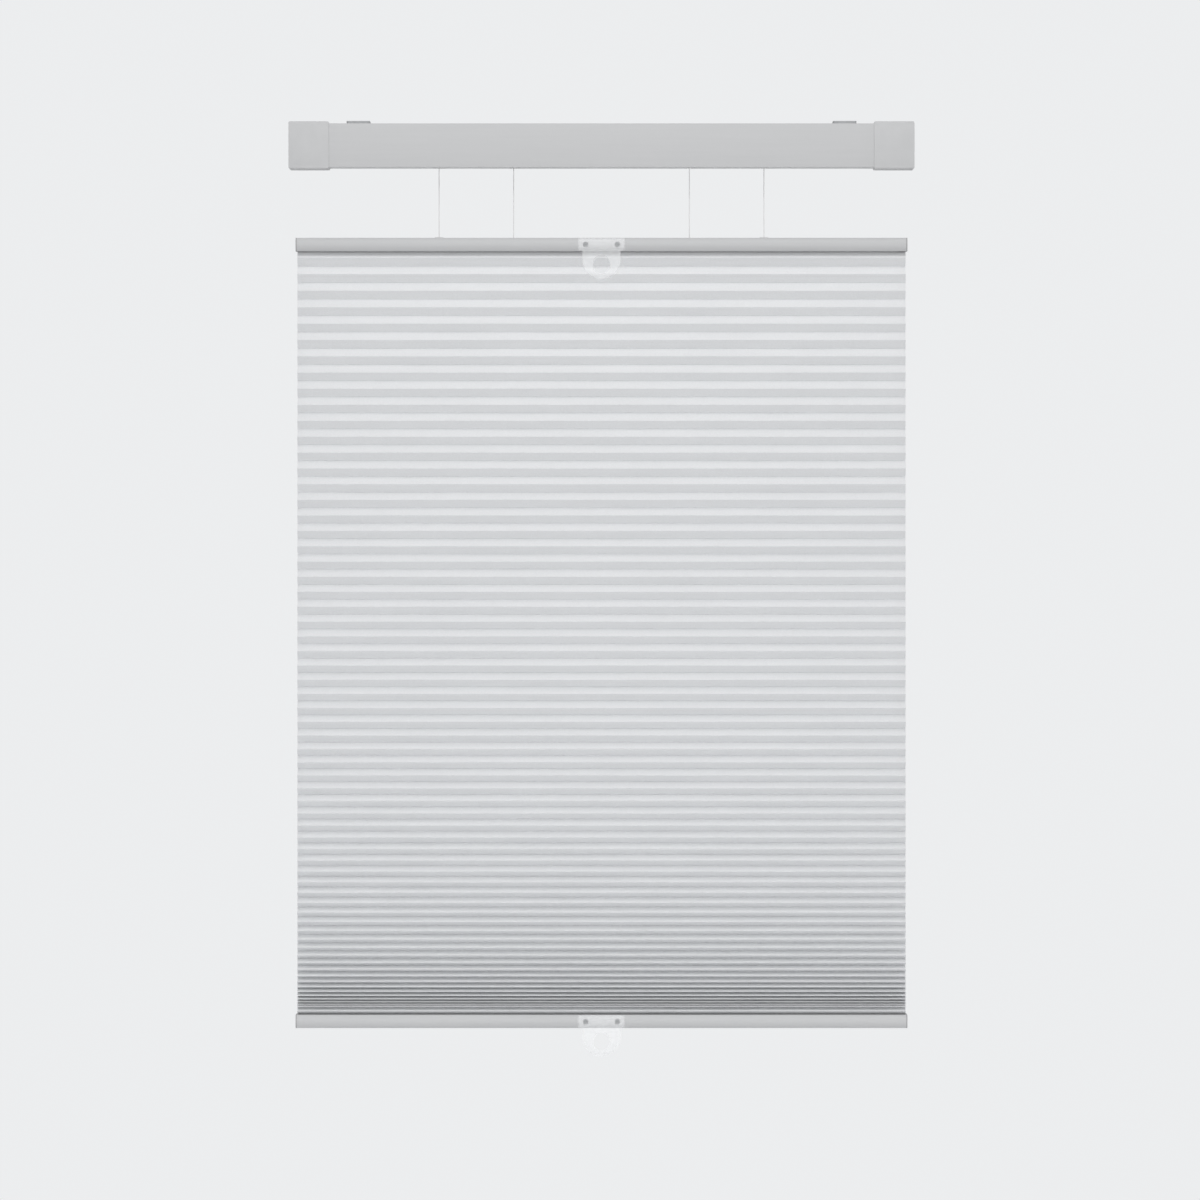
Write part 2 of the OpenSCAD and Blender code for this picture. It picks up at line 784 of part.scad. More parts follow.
module handle_screw(x, z) {
    color([0.6, 0.61, 0.63])
        translate([x, -pocket_y, z])
            difference() {
                union() {
                    to_shaft(hscrew_head_r, hscrew_head_t);
                    translate([0, hscrew_len, 0])
                        to_shaft(hscrew_r, hscrew_len);
                }
                box([-hscrew_head_r - over, -hscrew_head_t - over, -recess_w / 2],
                    [hscrew_head_r + over, -hscrew_head_t + recess_deep, recess_w / 2]);
            }
}

module holder_strip(z) {
    color([0.8, 0.8, 0.78])
        difference() {
            box([-cloth_w / 2 + plug_len, -tongue_y, z], [cloth_w / 2 - plug_len, tongue_y, z + strip_t]);
            for (sx = [-1, 1])
                translate([sx * cord_out_x, 0, 0])
                    post(cord_hole_r, z - over, z + strip_t + over);
        }
}

module anchor_disc(x) {
    color([0.82, 0.82, 0.8])
        translate([x, 0, 0])
            difference() {
                post(bush_flange_r, disc_z, low_strip_z);
                post(cord_hole_r, disc_z - over, low_strip_z + over);
            }
}

module pleated_fabric() {
    color([0.84, 0.85, 0.86])
        difference() {
            along_x(cloth_w)
                difference() {
                    polygon(concat(back_edge, front_edge));
                    for (i = [0 : cells - 1])
                        polygon(cell(i));
                }
            for (sx = [-1, 1])
                translate([sx * cord_out_x, 0, low_bot])
                    cylinder(r = cord_hole_r, h = mid_top - low_bot, $fn = punch_sides);
        }
}

headrail();
left() end_cap();  // end_cap_left
end_cap();  // end_cap_right
left() bracket();  // bracket_left
bracket();  // bracket_right
left() latch();  // latch_left
latch();  // latch_right
cradle(-cord_in_x, -1);  // cradle_mid_left
cradle(cord_in_x, -1);  // cradle_mid_right
cradle(-cord_out_x, 1);  // cradle_low_left
cradle(cord_out_x, 1);  // cradle_low_right
bushing(-cord_in_x, head_bot, head_wall, -1);  // bushing_mid_left
bushing(cord_in_x, head_bot, head_wall, -1);  // bushing_mid_right
bushing(-cord_out_x, head_bot, head_wall, -1);  // bushing_low_left
bushing(cord_out_x, head_bot, head_wall, -1);  // bushing_low_right
motor_case(-1);  // motor_case_mid
motor_case(1);  // motor_case_low
motor_cover(-1);  // motor_cover_mid
motor_cover(1);  // motor_cover_low
spring(-1);  // spring_mid
spring(1);  // spring_low
lift_cord(-cord_in_x, -1, mid_knot_z);  // cord_mid_left
lift_cord(cord_in_x, -1, mid_knot_z);  // cord_mid_right
lift_cord(-cord_out_x, 1, low_knot_z);  // cord_low_left
lift_cord(cord_out_x, 1, low_knot_z);  // cord_low_right
lift_rod(-1, cord_in_x);  // lift_rod_mid
spool(-cord_in_x, -1);  // spool_mid_left
spool(cord_in_x, -1);  // spool_mid_right
drive_drum(-1);  // drive_drum_mid
storage_drum(-1);  // storage_drum_mid
lift_rod(1, cord_out_x);  // lift_rod_low
spool(-cord_out_x, 1);  // spool_low_left
spool(cord_out_x, 1);  // spool_low_right
drive_drum(1);  // drive_drum_low
storage_drum(1);  // storage_drum_low
moving_rail(mid_z, 1);  // middle_rail
left() rail_cap(mid_z, 1);  // middle_cap_left
rail_cap(mid_z, 1);  // middle_cap_right
handle(mid_z);  // middle_handle
handle_screw(-hscrew_x, mid_z);  // middle_screw_left
handle_screw(hscrew_x, mid_z);  // middle_screw_right
holder_strip(mid_strip_z);  // upper_strip
bushing(-cord_out_x, mid_top - rail_wall, rail_wall, 1);  // grommet_left
bushing(cord_out_x, mid_top - rail_wall, rail_wall, 1);  // grommet_right
bushing(-cord_in_x, mid_top - rail_wall, rail_wall, -1);  // anchor_mid_left
bushing(cord_in_x, mid_top - rail_wall, rail_wall, -1);  // anchor_mid_right
pleated_fabric();
moving_rail(low_z, -1);  // bottom_rail
left() rail_cap(low_z, -1);  // bottom_cap_left
rail_cap(low_z, -1);  // bottom_cap_right
handle(low_z);  // bottom_handle
handle_screw(-hscrew_x, low_z);  // bottom_screw_left
handle_screw(hscrew_x, low_z);  // bottom_screw_right
holder_strip(low_strip_z);  // lower_strip
anchor_disc(-cord_out_x);  // anchor_low_left
anchor_disc(cord_out_x);  // anchor_low_right
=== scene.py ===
"""Looks of a cordless cellular pleated blind, dressed on its CAD frame.

Metres, +Z up, and the front faces -Y. The cloth, the lift cords, the end caps and the clear
handles are new pieces. Every other CAD node is shown as it is, with a better material.
"""
import math

import bmesh
import bpy
import numpy as np
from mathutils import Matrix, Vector, noise


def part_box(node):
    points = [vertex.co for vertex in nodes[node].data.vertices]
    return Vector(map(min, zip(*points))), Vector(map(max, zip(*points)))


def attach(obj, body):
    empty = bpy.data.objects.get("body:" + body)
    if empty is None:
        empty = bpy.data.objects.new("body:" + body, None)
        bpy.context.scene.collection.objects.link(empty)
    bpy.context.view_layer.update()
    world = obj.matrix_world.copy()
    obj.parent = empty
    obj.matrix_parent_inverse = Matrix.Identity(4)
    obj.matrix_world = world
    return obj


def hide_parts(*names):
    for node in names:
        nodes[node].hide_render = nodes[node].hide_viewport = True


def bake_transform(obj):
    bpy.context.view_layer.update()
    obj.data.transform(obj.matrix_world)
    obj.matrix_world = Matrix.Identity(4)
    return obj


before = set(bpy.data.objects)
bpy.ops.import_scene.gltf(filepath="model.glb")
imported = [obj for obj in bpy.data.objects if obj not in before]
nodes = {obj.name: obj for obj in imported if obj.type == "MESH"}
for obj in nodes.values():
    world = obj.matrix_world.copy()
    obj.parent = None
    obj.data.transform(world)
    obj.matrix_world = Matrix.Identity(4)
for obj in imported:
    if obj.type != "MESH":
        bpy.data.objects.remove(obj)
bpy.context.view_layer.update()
scene = bpy.context.scene

# Materials
LOW_STOP, HIGH_STOP = 0.3, 0.7
NOISE_LOW, NOISE_HIGH = 0.25, 0.75


def tone(grey, cool=0.0, share=1.0):
    """A grey times a share, turned a little towards blue."""
    return (grey * share * (1 - cool), grey * share, grey * share * (1 + cool))


class Shade:
    """A node material with one Principled shader and helpers that feed its sockets."""

    def __init__(self, name, **sockets):
        self.mat = bpy.data.materials.new(name)
        self.mat.use_nodes = True
        self.tree = self.mat.node_tree
        self.tree.nodes.clear()
        out = self.node("ShaderNodeOutputMaterial")
        self.bsdf = self.node("ShaderNodeBsdfPrincipled")
        self.link(self.bsdf.outputs["BSDF"], out.inputs["Surface"])
        for key, value in sockets.items():
            self.bsdf.inputs[key.replace("_", " ")].default_value = value
        self.coord = self.node("ShaderNodeTexCoord")

    def node(self, kind, **values):
        n = self.tree.nodes.new(kind)
        for key, value in values.items():
            setattr(n, key, value)
        return n

    def link(self, a, b):
        self.tree.links.new(a, b)

    def mapped(self, scale, turn=(0, 0, 0)):
        m = self.node("ShaderNodeMapping")
        m.inputs["Scale"].default_value = scale
        m.inputs["Rotation"].default_value = turn
        self.link(self.coord.outputs["Object"], m.inputs["Vector"])
        return m.outputs["Vector"]

    def noise(self, scale, detail, rough=0.55, turn=(0, 0, 0)):
        n = self.node("ShaderNodeTexNoise")
        self.link(self.mapped(scale, turn), n.inputs["Vector"])
        n.inputs["Scale"].default_value = 1.0
        n.inputs["Detail"].default_value = detail
        n.inputs["Roughness"].default_value = rough
        return n.outputs["Fac"]

    def cells(self, scale):
        n = self.node("ShaderNodeTexVoronoi")
        self.link(self.mapped(scale), n.inputs["Vector"])
        n.inputs["Scale"].default_value = 1.0
        return n.outputs["Distance"]

    def diagonals(self, scale, distortion):
        n = self.node("ShaderNodeTexWave", wave_type="BANDS", bands_direction="DIAGONAL")
        self.link(self.mapped(scale), n.inputs["Vector"])
        n.inputs["Scale"].default_value = 1.0
        n.inputs["Distortion"].default_value = distortion
        return n.outputs["Fac"]

    def math(self, op, a, b):
        n = self.node("ShaderNodeMath", operation=op)
        for k, v in enumerate((a, b)):
            if isinstance(v, (int, float)):
                n.inputs[k].default_value = v
            else:
                self.link(v, n.inputs[k])
        return n.outputs[0]

    def total(self, *terms):
        """The sum of (texture, share) terms."""
        parts = [self.math("MULTIPLY", fac, share) for fac, share in terms]
        result = parts[0]
        for part in parts[1:]:
            result = self.math("ADD", result, part)
        return result

    def colour(self, fac, stops):
        n = self.node("ShaderNodeValToRGB")
        e = n.color_ramp.elements
        while len(e) < len(stops):
            e.new(0.5)
        for k, (pos, col) in enumerate(stops):
            e[k].position = pos
            e[k].color = (*col, 1.0)
        self.link(fac, n.inputs["Fac"])
        self.link(n.outputs["Color"], self.bsdf.inputs["Base Color"])

    def two_tone(self, fac, grey, cool, low, high):
        """A base colour between two shares of a grey."""
        self.colour(fac, [(LOW_STOP, tone(grey, cool, low)), (HIGH_STOP, tone(grey, cool, high))])

    def spread(self, fac, low, high, socket="Roughness", span=(NOISE_LOW, NOISE_HIGH), **values):
        n = self.node("ShaderNodeMapRange", **values)
        self.link(fac, n.inputs["Value"])
        for key, value in zip(("From Min", "From Max", "To Min", "To Max"), (*span, low, high)):
            n.inputs[key].default_value = value
        self.link(n.outputs["Result"], self.bsdf.inputs[socket])

    def bump(self, height, distance, strength=1.0):
        n = self.node("ShaderNodeBump")
        n.inputs["Distance"].default_value = distance
        n.inputs["Strength"].default_value = strength
        self.link(height, n.inputs["Height"])
        self.link(n.outputs["Normal"], self.bsdf.inputs["Normal"])


def even(size):
    return (size, size, size)


def lacquer(name, grey):
    """Satin paint on an extrusion, with a faint grain along its length and a fine orange peel."""
    s = Shade(name, Specular_IOR_Level=0.36)
    grain = s.noise((9, 260, 260), detail=4)
    peel = s.noise(even(900), detail=2)
    s.two_tone(grain, grey, cool=0.008, low=0.988, high=1.01)
    s.spread(peel, 0.4, 0.52)
    s.bump(s.total((grain, 0.5), (peel, 1.0)), distance=0.00003)
    return s.mat


def moulded(name, grey, cool=0.008, rough=(0.5, 0.62), grain=2200.0):
    """Finely grained plastic."""
    s = Shade(name, Specular_IOR_Level=0.22)
    fine = s.noise(even(grain), detail=2)
    broad = s.noise(even(35), detail=3)
    s.two_tone(broad, grey, cool, low=0.975, high=1.02)
    s.spread(fine, *rough)
    s.bump(fine, distance=0.00004)
    return s.mat


def cloth_shade():
    """Soft non-woven cloth: crossed fibres, flocks of them and broad drifts of tone."""
    s = Shade("cloth_nonwoven", Specular_IOR_Level=0.12, Sheen_Weight=0.1, Sheen_Roughness=0.5)
    flock = s.noise((520, 700, 700), detail=4, rough=0.62)
    long_a = s.noise((320, 2600, 2600), detail=3, rough=0.6, turn=(0.4, 0.0, 0.35))
    long_b = s.noise((420, 2400, 2400), detail=3, rough=0.6, turn=(-0.5, 0.2, -0.6))
    fibres = s.math("MULTIPLY", s.math("ADD", long_a, long_b), 0.5)
    broad = s.noise((14, 60, 60), detail=2)
    mix = s.total((flock, 0.45), (fibres, 0.4), (broad, 0.15))
    dark, mean, pale = tone(0.76, 0.012), tone(0.81, 0.011), tone(0.855, 0.01)
    s.colour(mix, [(LOW_STOP, dark), (0.5, mean), (HIGH_STOP, pale)])
    s.spread(fibres, 0.9, 0.98)
    s.bump(s.total((fibres, 1.0), (flock, 0.6)), distance=0.00012, strength=0.7)
    return s.mat


def cord_shade():
    """Braided cord."""
    s = Shade("cord_braid", Roughness=0.85, Specular_IOR_Level=0.2, Sheen_Weight=0.1)
    braid = s.diagonals((900, 900, 620), distortion=1.5)
    fuzz = s.noise(even(1800), detail=2)
    mix = s.total((braid, 0.7), (fuzz, 0.3))
    s.colour(mix, [(0.2, tone(0.72)), (0.6, tone(0.85)), (0.9, tone(0.88))])
    s.bump(mix, distance=0.0001)
    return s.mat


def clear_shade(name, alpha):
    """Clear plastic with a slight haze."""
    s = Shade(name, Alpha=alpha)
    haze = s.noise(even(180), detail=3)
    s.two_tone(haze, grey=0.98, cool=0.012, low=0.97, high=1.02)
    s.spread(haze, 0.16, 0.26)
    s.bump(s.noise(even(420), detail=2), distance=0.00002)
    return s.mat


def steel(name, grey, rough, scale):
    """Plated or drawn metal."""
    s = Shade(name, Metallic=1.0)
    drawn = s.noise(scale, detail=4)
    mix = s.total((drawn, 0.7), (s.cells(even(420)), 0.3))
    s.colour(mix, [(0.2, tone(grey, 0.012, 0.86)), (HIGH_STOP, tone(grey, 0.012, 1.06))])
    s.spread(drawn, rough - 0.08, rough + 0.1)
    s.bump(drawn, distance=0.00003)
    return s.mat


RAIL = lacquer("rail_lacquer", 0.575)
# The rail end caps are grey plastic, set darker than their own grey as painted shade for the shade
# on their chamfered ends.
CAP = moulded("end_cap_plastic", 0.585)
RAIL_CAP_PAINTED_SHADE = moulded("rail_cap_plastic", 0.42)
CLOTH = cloth_shade()
CORD = cord_shade()
CLEAR = clear_shade("clear_plastic", alpha=0.36)
CLEAR_EDGE = clear_shade("clear_plastic_edge", alpha=0.3)
CLEAR_REAR = clear_shade("clear_plastic_rear", alpha=0.05)
SCREW = steel("screw_zinc", 0.5, 0.38, even(900))
BRACKET = steel("bracket_zinc", 0.5, 0.48, even(60))
SPRING = steel("spring_strip", 0.5, 0.28, (12, 900, 900))
ROD = steel("rod_mill_aluminium", 0.72, 0.36, (14, 700, 700))
WHITE = moulded("white_plastic", 0.76, 0.0, rough=(0.4, 0.52), grain=900.0)
DARK = moulded("motor_plastic", 0.2, 0.02, rough=(0.46, 0.6), grain=1600.0)

by_name = {
    "headrail": RAIL,
    "middle_rail": RAIL,
    "bottom_rail": RAIL,
    "end_cap": CAP,
    "middle_cap": RAIL_CAP_PAINTED_SHADE,
    "bottom_cap": RAIL_CAP_PAINTED_SHADE,
    "bracket": BRACKET,
    "latch": SPRING,
    "spring": SPRING,
    "cradle": WHITE,
    "bushing": WHITE,
    "grommet": WHITE,
    "anchor": WHITE,
    "spool": WHITE,
    "upper_strip": WHITE,
    "lower_strip": WHITE,
    "drive_drum": WHITE,
    "storage_drum": WHITE,
    "motor": DARK,
    "lift_rod": ROD,
    "middle_screw": SCREW,
    "bottom_screw": SCREW,
    "middle_handle": CLEAR,
    "bottom_handle": CLEAR,
    "cord": CORD,
    "pleated_fabric": CLOTH,
}
for name, node in nodes.items():
    for start in sorted(by_name, key=len, reverse=True):
        if name.startswith(start):
            for slot in node.material_slots:
                slot.material = by_name[start]
            break


# Mesh helpers
def new_object(name, mesh, materials):
    for m in materials:
        mesh.materials.append(m)
    ob = bpy.data.objects.new(name, mesh)
    scene.collection.objects.link(ob)
    return ob


def new_mesh(name, verts, faces, material, sharp):
    """A smooth-shaded object with its edges sharp above an angle in degrees."""
    me = bpy.data.meshes.new(name)
    me.from_pydata([tuple(v) for v in verts], [], [tuple(f) for f in faces])
    bm = bmesh.new()
    bm.from_mesh(me)
    bmesh.ops.recalc_face_normals(bm, faces=bm.faces)
    bm.to_mesh(me)
    bm.free()
    me.polygons.foreach_set("use_smooth", [True] * len(me.polygons))
    me.set_sharp_from_angle(angle=math.radians(sharp))
    return new_object(name, me, [material])


TUBE_SHARP = 60.0
START_SIDE = (0.31, 0.95, 0.05)


def tube(points, radius, sides, close=False):
    """Vertices and faces of a round cord along the points, a ring or with its ends shut."""
    p = np.array(points, float)
    n = len(p)
    tang = np.roll(p, -1, 0) - np.roll(p, 1, 0)
    if not close:
        tang[0] = p[1] - p[0]
        tang[-1] = p[-1] - p[-2]
    tang /= np.linalg.norm(tang, axis=1)[:, None]
    side = np.cross(tang[0], START_SIDE)
    side /= np.linalg.norm(side)
    verts = []
    for k in range(n):
        side = side - tang[k] * np.dot(side, tang[k])
        side /= np.linalg.norm(side)
        up = np.cross(tang[k], side)
        for j in range(sides):
            a = 2 * math.pi * j / sides
            verts.append(p[k] + radius * (math.cos(a) * side + math.sin(a) * up))
    faces = []
    for k in range(n if close else n - 1):
        k2 = (k + 1) % n
        for j in range(sides):
            j2 = (j + 1) % sides
            faces.append((k * sides + j, k * sides + j2, k2 * sides + j2, k2 * sides + j))
    if not close:
        faces.append(tuple(range(sides - 1, -1, -1)))
        faces.append(tuple((n - 1) * sides + j for j in range(sides)))
    return verts, faces


# Honeycomb cloth, one glued strip to a cell: sizes
MID_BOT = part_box("middle_rail")[0].z
LOW_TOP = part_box("bottom_rail")[1].z
CLOTH_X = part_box("pleated_fabric")[1].x
CELLS = 64
FACET = 0.0133
FACET_SHARES = (0.25, 0.5, 0.75, 0.955)
FACET_BOW = 0.00022
BOW_HALF = 0.0088
GLUE_Y = 0.003
WALL = 0.00025
LEAST_INNER = 0.001
NOSE_IN = 0.0001
STRIP_SHARP = 12.0

# Places of the folds: the cells' heights fall by a law of three values towards the bottom rail
FIRST_DROP = 0.0075
LAST_RISE = 0.0045
LAST_PITCH = 0.006
FALL_EVEN, FALL_LATE, LATE_POWER = 0.23, 0.67, 3.3
way = np.arange(CELLS - 2) / (CELLS - 3)
heights_law = 1 - FALL_EVEN * way - FALL_LATE * way**LATE_POWER
first_z, last_z = MID_BOT - FIRST_DROP, LOW_TOP + LAST_RISE
drops = np.cumsum(heights_law) / heights_law.sum() * (first_z - last_z - LAST_PITCH)
folds = first_z - np.concatenate([[0], drops, [first_z - last_z]])
glues = np.concatenate([[MID_BOT], (folds[:-1] + folds[1:]) / 2, [LOW_TOP]])
halves = (glues[:-1] - glues[1:]) / 2
reaches = np.sqrt(FACET**2 - halves**2)

# Stations across the width, with one on each side of the punched cord holes
CORD_OUT = 0.194
PUNCH = 0.0016
PUNCH_CLEAR = 0.0025
STATIONS = 41
TINY = 1e-9
HOLE_NEAR = 1e-4
even_x = np.linspace(-CLOTH_X, CLOTH_X, STATIONS)
punches = [s * (CORD_OUT + k * PUNCH) for s in (-1, 1) for k in (-1, 1)]
kept = [min(abs(x - p) for p in punches) > PUNCH_CLEAR for x in even_x]
stations = np.array(sorted(list(even_x[kept]) + punches))

# How the folds stray from straight lines
SLOW_STEPS = (5.0, 7.3, 3.17)
QUICK_STEPS = (17.0, -3.1, 5.71)
QUICK_SEED = 4.0
QUICK_SHARE = 0.35
STRAY_DEPTH, STRAY_HEIGHT = 0.00028, 0.00022
STRAY_HALF = 0.008
STRAY_LEAST = 0.3
FRONT_SHARE = 0.7


def ring(i):
    """The outer and inner outlines of a cell's upper half, and those of its lower half.

    A point is (y, z, share of the way to the fold). An outline runs from one fold past the glue
    line to the other fold.
    """
    fold, half, reach = folds[i], halves[i], reaches[i]
    bow = FACET_BOW * half / BOW_HALF
    in_glue = GLUE_Y - WALL * (FACET - reach) / half
    in_fold = max(GLUE_Y + reach - WALL * FACET / half, in_glue + LEAST_INNER)

    def facet(s, glue, side, inner):
        y0, y1 = (in_glue, in_fold) if inner else (GLUE_Y, GLUE_Y + reach)
        z0 = glue + (WALL if glue < fold else -WALL) * inner
        lift = bow * 4 * s * (1 - s)
        y = y0 + (y1 - y0) * s + lift * abs(glue - fold) / FACET
        z = z0 + (fold - z0) * s + lift * (1 if glue > fold else -1) * reach / FACET
        return (side * y, z, s)

    def slope(glue, side, inner):
        return [facet(s, glue, side, inner) for s in FACET_SHARES]

    def level(glue, inner):
        edge = in_glue if inner else GLUE_Y
        z = glue + WALL * inner * (1 if glue < fold else -1)
        return [(y, z, 0.0) for y in (-edge, -PUNCH, PUNCH, edge)]

    def tip(side, inner):
        nose = in_fold if inner else GLUE_Y + reach - NOSE_IN
        return (side * nose, fold, 1.0)

    def outline(glue, side, inner):
        first = [tip(side, inner)] + slope(glue, side, inner)[::-1]
        return first + level(glue, inner)[::-side] + slope(glue, -side, inner) + [tip(-side, inner)]

    tops = [outline(glues[i], -1, inner) for inner in (0, 1)]
    lows = [outline(glues[i + 1], 1, inner) for inner in (0, 1)]
    return tops, lows


def wander(x, i, seed):
    """A slow and a quick wave across the width, different in each cell."""
    per_x, per_seed, per_cell = SLOW_STEPS
    slow = noise.noise(Vector((x * per_x + seed * per_seed, i * per_cell, seed)))
    per_x, per_seed, per_cell = QUICK_STEPS
    quick = noise.noise(Vector((x * per_x + seed * per_seed, i * per_cell, seed + QUICK_SEED)))
    return slow + QUICK_SHARE * quick


def unevenness(x, i):
    """How far the folds of a cell stray at the front and at the rear, and how far in height."""
    size = min(1.0, halves[i] / STRAY_HALF)
    out = STRAY_DEPTH * wander(x, i, 1.0) * max(size, STRAY_LEAST)
    return -out * FRONT_SHARE, out, STRAY_HEIGHT * wander(x, i, 2.0) * size


def strip_mesh(name, i, outer, inner, closed):
    """A strip of cloth with a wall, from its outer and inner outlines, with punched cord holes."""
    n = len(outer)
    count = len(stations)
    last = n if closed else n - 1
    verts = []
    for x in stations:
        front, rear, dz = unevenness(x, i)
        for y, z, s in outer + inner:
            verts.append((x, y + (rear if y > 0 else front) * s, z + dz * s))

    def at(k, j, inner_side):
        return k * 2 * n + (n if inner_side else 0) + j % n

    def crosses_hole(j):
        y, next_y = outer[j][0], outer[(j + 1) % n][0]
        return abs(abs(y) - PUNCH) < TINY and abs(y + next_y) < TINY

    hole_j = [j for j in range(n) if crosses_hole(j)]
    middles = (stations[:-1] + stations[1:]) / 2
    hole_k = [k for k in range(count - 1) if abs(abs(middles[k]) - CORD_OUT) < HOLE_NEAR]
    faces = []
    for k in range(count - 1):
        for j in range(last):
            if j in hole_j and k in hole_k:
                rim = [(k, j), (k + 1, j), (k + 1, j + 1), (k, j + 1)]
                for a, b in zip(rim, rim[1:] + rim[:1]):
                    faces.append((at(*a, 0), at(*b, 0), at(*b, 1), at(*a, 1)))
                continue
            faces.append((at(k, j, 0), at(k + 1, j, 0), at(k + 1, j + 1, 0), at(k, j + 1, 0)))
            faces.append((at(k, j + 1, 1), at(k + 1, j + 1, 1), at(k + 1, j, 1), at(k, j, 1)))
        if not closed:
            for j in (0, n - 1):
                faces.append((at(k, j, 0), at(k, j, 1), at(k + 1, j, 1), at(k + 1, j, 0)))
    for k in (0, count - 1):
        for j in range(last):
            faces.append((at(k, j, 0), at(k, j + 1, 0), at(k, j + 1, 1), at(k, j, 1)))
    return new_mesh(name, verts, faces, CLOTH, STRIP_SHARP)


# Weights for each half of the cloth, sharing out one rail's travel; the loop below computes them
# and applies none
MID_TRAVEL, LOW_TRAVEL = 0.40, 0.41
EDGE_W = 0.004
EDGE_CELLS = 6
CLOSE_LIMIT = 0.965
CLOSE_MARGIN = 0.99
CLOSE_LEAST = 0.2
ROOM_LEAST, ROOM_STEP, ROOM_MOST = 1e-5, 0.0002, 0.2
ROUNDS = 60
FOLD_R = 0.00036
FOLD_IN = 0.00038
FOLD_SIDES = 8


def hang(piece):
    """The piece's transform is baked into its mesh."""
    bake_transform(piece)


def closing(levels, travel):
    """Weights at the levels, from 1 at the rail to 0 at the fixed end.

    The cells close evenly at the end of the travel, and no strip turns over.
    """
    heights = np.abs(np.diff(levels))
    count = len(heights)
    limit = CLOSE_LIMIT / travel

    def steepest(w, room):
        low, high = math.sqrt(w), math.sqrt(w + room)
        return 2 * high / (low + high) * room

    caps = np.full(count, np.inf)
    for order in (range(count), range(count - 1, -1, -1)):
        w = EDGE_W
        for k in list(order)[:EDGE_CELLS]:
            room = ROOM_LEAST
            while steepest(w, room) / heights[k] <= limit and room <= ROOM_MOST:
                room += ROOM_STEP
            caps[k] = min(caps[k], room)
            w += room
    most = np.minimum(caps, heights * limit * CLOSE_MARGIN)
    want = np.maximum(heights - (heights.sum() - travel) / count, heights * CLOSE_LEAST)
    part = want / want.sum() * (1 - 2 * EDGE_W)
    for _ in range(ROUNDS):
        part = np.minimum(part, most)
        short = 1 - 2 * EDGE_W - part.sum()
        free = part < most - TINY
        if short < TINY or not free.any():
            break
        part[free] += short * part[free] / part[free].sum()
    return 1 - EDGE_W - np.concatenate([[0], np.cumsum(part)])


MIDWAY = int(np.argmin(np.abs(glues - (MID_BOT + LOW_TOP) / 2)))
# The first cell and the two that meet midway are made as two halves
SPLIT = {0, MIDWAY - 1, MIDWAY}


def cell_levels(first, last):
    """Heights of the glue lines, and of the folds where a cell is split."""
    z = [glues[first]]
    for i in range(first, last):
        if i in SPLIT:
            z.append(folds[i])
        z.append(glues[i + 1])
    return z


for rail, levels, travel in (
    ("middle_rail", cell_levels(0, MIDWAY), MID_TRAVEL),
    ("bottom_rail", cell_levels(MIDWAY, CELLS)[::-1], LOW_TRAVEL),
):
    for z, w in zip(levels, closing(levels, travel)):
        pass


def crease(i):
    """The thick front and rear creases of a cell."""
    verts, faces = [], []
    for side in (-1, 1):
        line = []
        for x in stations:
            front, rear, dz = unevenness(x, i)
            y = side * (GLUE_Y + reaches[i] - FOLD_IN) + (rear if side > 0 else front)
            line.append((x, y, folds[i] + dz))
        v, f = tube(line, FOLD_R, FOLD_SIDES)
        faces += [tuple(len(verts) + k for k in face) for face in f]
        verts += v
    ob = new_mesh(f"fabric_fold_{i + 1:02d}", verts, faces, CLOTH, TUBE_SHARP)
    hang(ob)
    return ob


def finish_strip(piece, creases=()):
    """The strip's transform is baked into its mesh; its creases are not used."""
    hang(piece)


for i in range(CELLS):
    tops, lows = ring(i)
    rail = "middle_rail" if i < MIDWAY else "bottom_rail"
    label = f"fabric_cell_{i + 1:02d}"
    if i in SPLIT:
        half_strip = strip_mesh(label + "_upper", i, tops[0], tops[1], False)
        finish_strip(half_strip, [crease(i)])
        half_strip = strip_mesh(label + "_lower", i, lows[0], lows[1], False)
        finish_strip(half_strip)
    else:
        outer, inner = (tops[k][:-1] + lows[k][:-1] for k in (0, 1))
        whole = strip_mesh(label, i, outer, inner, True)
        finish_strip(whole, [crease(i)])
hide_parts("pleated_fabric")

# Lift cords: the straight run, the turns on the spool and the knot
CORD_R = 0.0006
RUN_STEPS, RUN_SIDES = 90, 10
COIL_R, COIL_PITCH, COIL_TURNS, COIL_STEPS = 0.0111, 0.00122, 4.6, 30
KNOT_RISE, KNOT_SIZE, KNOT_DEPTH, KNOT_STEPS = 0.0022, 0.00052, 0.0007, 72
COIL_SIDES = 8


def coil_points(x, axis):
    toward = -1 if axis.y > 0 else 1
    points = []
    for k in range(int(COIL_TURNS * COIL_STEPS) + 1):
        a = 2 * math.pi * k / COIL_STEPS
        dx = COIL_PITCH * k / COIL_STEPS - 0.5 * COIL_PITCH * COIL_TURNS
        y = axis.y + toward * COIL_R * math.cos(a)
        points.append((x + dx, y, axis.z + COIL_R * math.sin(a)))
    return points


def knot_points(x, knot_z):
    """A trefoil knot."""
    points = []
    for k in range(KNOT_STEPS):
        a = 2 * math.pi * k / KNOT_STEPS
        px = math.sin(a) + 2 * math.sin(2 * a)
        py = math.cos(a) - 2 * math.cos(2 * a)
        points.append((x + KNOT_SIZE * px, KNOT_SIZE * py, knot_z - KNOT_DEPTH * math.sin(3 * a)))
    return points


